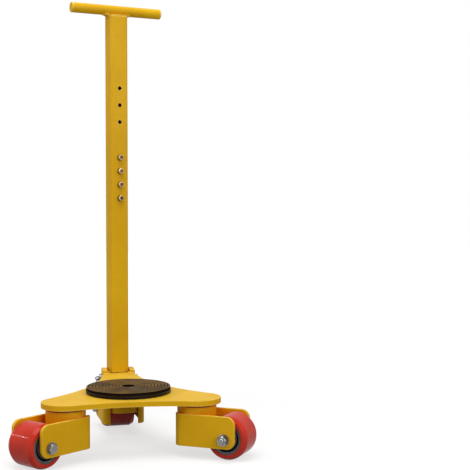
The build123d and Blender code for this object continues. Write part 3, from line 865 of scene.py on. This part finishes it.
def show_axle_fasteners(caster):
    """Axle bolt and nut of one caster, on the outsides of the washers."""
    body = caster + "_caster"
    hub, axle = axle_of(caster)[:2]
    washers_high = span_along(caster + "_axle_washers", hub, axle)[1]
    bolt_low, bolt_high = span_along(caster + "_axle_bolt", hub, axle)
    nut_low, nut_high = span_along(caster + "_axle_nut", hub, axle)
    low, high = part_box(caster + "_axle_nut")
    flats = high.z - low.z
    bolt = make_hex_bolt(flats, bolt_high - washers_high, washers_high - bolt_low)
    seat = [hub + axle * washers_high]
    show_fasteners(caster + "_axle_bolt_head", body, bolt, seat, axle, axle_bolt_turn, caster + "_axle_bolt")
    nut = make_hex_nut(flats, nut_high - nut_low, axle_nut_bore_radius)
    seat = [hub + axle * nut_high]
    show_fasteners(caster + "_axle_lock_nut", body, nut, seat, -axle, axle_nut_turn, caster + "_axle_nut")


for caster in caster_names:
    show_wheel(caster)
    for part in ("_fork", "_swivel_head", "_axle_washers", "_axle_spacers"):
        smooth_copy(caster + part)
    show_fork_welds(caster)
    show_axle_fasteners(caster)

# Base plate, turntable and hinge

for node in (
    "main_plate",
    "load_pad",
    "turntable_disc",
    "hinge_ears",
    "hinge_pin",
    "pin_ring",
    "pin_clip",
    "hinge_knuckle",
    "kingpin_washers",
):
    smooth_copy(node)


def show_kingpin_nuts():
    """Nuts on the lower ends of the three kingpins."""
    low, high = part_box("kingpin_nuts")
    nut = make_hex_nut(kingpin_nut_flats, high.z - low.z, kingpin_nut_bore_radius)
    pivots = [Vector(joints[caster + "_swivel"]["pos_m"]) for caster in caster_names]
    places = [pivot + up * high.z for pivot in pivots]
    show_fasteners("kingpin_lock_nuts", "frame", nut, places, -up, kingpin_nut_turn, "kingpin_nuts")


def show_hinge_welds():
    """Beads on the tongue: across the front of each ear and along the ear's inner side."""
    ears_low, ears_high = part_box("hinge_ears")
    plate_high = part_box("main_plate")[1]
    sunk = 0.2 * hinge_bead
    front = ears_low.y - sunk
    top = plate_high.z + sunk
    paths = []
    for side in (-1, 1):
        outer = side * (ears_high.x - hinge_bead)
        inner = side * (ears_high.x - ear_thickness - sunk)
        paths.append([(outer, front, top), (inner, front, top), (inner, plate_high.y - hinge_bead, top)])
    show_welds("hinge_welds", "frame", paths, hinge_bead)


show_kingpin_nuts()
show_hinge_welds()

# Handle: post, cross bar and cap screws

for node in ("lower_post", "upper_post", "post_cap", "cross_bar", "bar_caps"):
    smooth_copy(node)

post_axis = Vector(joints["handle_swivel"]["pos_m"])
post_middle = Vector((post_axis.x, post_axis.y, 0))
post_front = Vector(mounts["post_hole_low"]["axis"])
post_side = post_front.cross(up)
cap_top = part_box("post_cap")[1].z
bar_low, bar_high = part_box("cross_bar")
bar_radius = (bar_high.z - bar_low.z) / 2


def show_cap_screws():
    """Cap screws in the front of the post."""
    low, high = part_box("splice_screws")
    first = low.z + screw_head_radius
    pitch = (high.z - low.z - 2 * screw_head_radius) / (screw_count - 1)
    foot = post_middle + post_front * post_half_width
    places = [foot + up * (first + i * pitch) for i in range(screw_count)]
    screw = make_cap_screw()
    show_fasteners("post_cap_screws", "handle", screw, places, post_front, screw_turn, "splice_screws")


def show_bar_welds():
    """Beads along both sides of the cross bar, where it lies on the post's cap."""
    half = post_half_width - 2 * bar_bead
    bead_out = 0.62 * bar_radius
    bead_height = cap_top + 0.35 * bar_bead
    paths = []
    for side in (-1, 1):
        line = post_middle + post_front * side * bead_out + up * bead_height
        paths.append([line - post_side * half, line + post_side * half])
    show_welds("bar_welds", "handle", paths, bar_bead)


def fillet_outline(leg):
    """Section of a hollow fillet, as places (out from the post's side, up from its top)."""
    inside_bar = 0.5 * bar_radius
    outline = [(-fillet_root, inside_bar), (-fillet_root, -leg)]
    steps = 10
    for i in range(steps + 1):
        bend = math.pi / 2 * i / steps
        outline.append((leg * (1 - math.cos(bend)), leg * (math.sin(bend) - 1)))
    outline.append((leg, inside_bar))
    return outline


def show_bar_fillets():
    """Hollow weld fillets in the two corners between the post's sides and the bar, thinner at their ends."""
    half_depth = 0.8 * bar_radius
    first_angle = 0.02 * math.pi
    sweep = 0.96 * math.pi
    sections = 12
    shape = bmesh.new()
    for side in (-1, 1):
        corner = post_middle + up * cap_top + post_side * side * post_half_width
        rows = []
        for section in range(sections + 1):
            angle = first_angle + sweep * section / sections
            outline = fillet_outline(fillet_leg * math.sqrt(math.sin(angle)))
            middle = corner + post_front * half_depth * math.cos(angle)
            places = [middle + post_side * side * out + up * height for out, height in outline]
            rows.append([shape.verts.new(place) for place in places])
        shape.faces.new(rows[0])
        shape.faces.new(rows[-1])
        for low, high in zip(rows, rows[1:]):
            for i in range(len(low)):
                j = (i + 1) % len(low)
                shape.faces.new((low[i], low[j], high[j], high[i]))
    bmesh.ops.recalc_face_normals(shape, faces=shape.faces)
    mesh = bpy.data.meshes.new("bar_fillets")
    shape.to_mesh(mesh)
    shape.free()
    shade(mesh)
    mesh.materials.append(finishes["yellow_paint"])
    show("bar_fillets", mesh, "handle")


show_cap_screws()
show_bar_welds()
show_bar_fillets()

# The solids themselves, in their finishes
for node, piece in nodes.items():
    piece.data.materials.clear()
    piece.data.materials.append(finish_of(node))


# Floor, backdrop and lamps


def seen_directly(tree):
    """1 where a surface is seen, straight, mirrored or through glass, and 0 for its light on others."""
    path = tree.nodes.new("ShaderNodeLightPath").outputs
    mirrored = arithmetic(tree, "ADD", path["Is Glossy Ray"], path["Is Transmission Ray"])
    return arithmetic(tree, "MINIMUM", arithmetic(tree, "ADD", path["Is Camera Ray"], mirrored), 1.0)


def add_floor():
    """Wide pale floor under the wheels, which looks white but keeps the shadow."""
    half_width = 9.0
    near_glow = 0.66
    added_glow = 0.30
    glow_from = 0.7
    glow_to = 3.0
    signs = [(-1, -1), (1, -1), (1, 1), (-1, 1)]
    mesh = bpy.data.meshes.new("floor")
    mesh.from_pydata([(x * half_width, y * half_width, floor_z) for x, y in signs], [], [(0, 1, 2, 3)])
    floor = bpy.data.objects.new("floor", mesh)
    bpy.context.scene.collection.objects.link(floor)
    material, tree, shader = new_material("studio_floor")
    shader.inputs["Base Color"].default_value = (*grey(0.32), 1)
    shader.inputs["Roughness"].default_value = 0.8
    shader.inputs["Specular IOR Level"].default_value = 0.0
    shader.inputs["Emission Color"].default_value = (1, 1, 1, 1)
    distance = tree.nodes.new("ShaderNodeVectorMath")
    distance.operation = "LENGTH"
    tree.links.new(own_place(tree), distance.inputs[0])
    far = spread_over(tree, distance.outputs["Value"], glow_from, glow_to)
    whiteness = arithmetic(tree, "MULTIPLY_ADD", far, added_glow, near_glow)
    tree.links.new(product(tree, seen_directly(tree), whiteness), shader.inputs["Emission Strength"])
    mesh.materials.append(material)


def add_backdrop():
    """White surroundings that light the object softly."""
    soft_light = 0.45
    world = bpy.data.worlds.new("studio")
    bpy.context.scene.world = world
    world.use_nodes = True
    tree = world.node_tree
    sky = tree.nodes["Background"]
    sky.inputs["Color"].default_value = (1, 1, 1, 1)
    strength = arithmetic(tree, "MULTIPLY_ADD", seen_directly(tree), 1.0 - soft_light, soft_light)
    tree.links.new(strength, sky.inputs["Strength"])


def add_lamp(name, place, width, height, power):
    """Soft rectangular lamp aimed at the lower part of the dolly."""
    aim = Vector((0, 0.1, 0.2))
    lamp = bpy.data.lights.new(name, "AREA")
    lamp.shape = "RECTANGLE"
    lamp.size = width
    lamp.size_y = height
    lamp.energy = power
    holder = bpy.data.objects.new(name, lamp)
    holder.location = place
    holder.rotation_euler = (aim - Vector(place)).to_track_quat("-Z", "Y").to_euler()
    bpy.context.scene.collection.objects.link(holder)


add_floor()
add_backdrop()
add_lamp("overhead_lamp", (-0.3, -0.5, 3.0), width=2.2, height=2.2, power=62)
add_lamp("front_lamp", (1.5, -3.0, 1.5), width=1.8, height=1.8, power=44)
add_lamp("strip_lamp", (-2.9, 0.4, 1.3), width=3.0, height=0.04, power=24)
